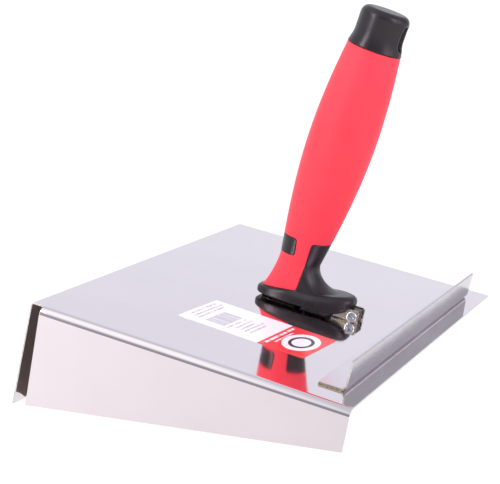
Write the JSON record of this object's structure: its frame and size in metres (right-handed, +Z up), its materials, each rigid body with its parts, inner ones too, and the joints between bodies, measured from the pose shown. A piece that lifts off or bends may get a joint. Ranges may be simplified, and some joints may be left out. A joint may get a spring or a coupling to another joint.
{
  "type": "corner trowel",
  "caption": "Hand trowel with a folded steel blade, two walls at a corner, an edge stiffener and a leaning soft-grip handle clamped to a channel.",
  "frame": {"origin": "on the surface the trowel stands on, under the middle of its bounding box", "axes": "+Z up, +Y along the side wall away from the front wall, +X along the front wall towards its shallow end and the stiffener"},
  "size_m": [0.208, 0.3, 0.231],
  "materials": {
    "polished_steel": "polished",
    "mill_steel": "satin",
    "channel_steel": "satin",
    "zinc_plate": "polished",
    "nylon": "matte",
    "core_plastic": "satin",
    "grip_rubber": "satin",
    "label_paper": "matte"
  },
  "bodies": {
    "root": {"blade": "polished_steel", "edge_stiffener": "mill_steel", "mounting_channel": "channel_steel", "clamp_screw": "zinc_plate", "spacer_sleeve": "zinc_plate", "lock_nut": "zinc_plate", "nut_ring": "nylon", "handle_core": "core_plastic", "soft_grip": "grip_rubber", "end_cap": "core_plastic", "label": "label_paper"}
  },
  "joints": []
}
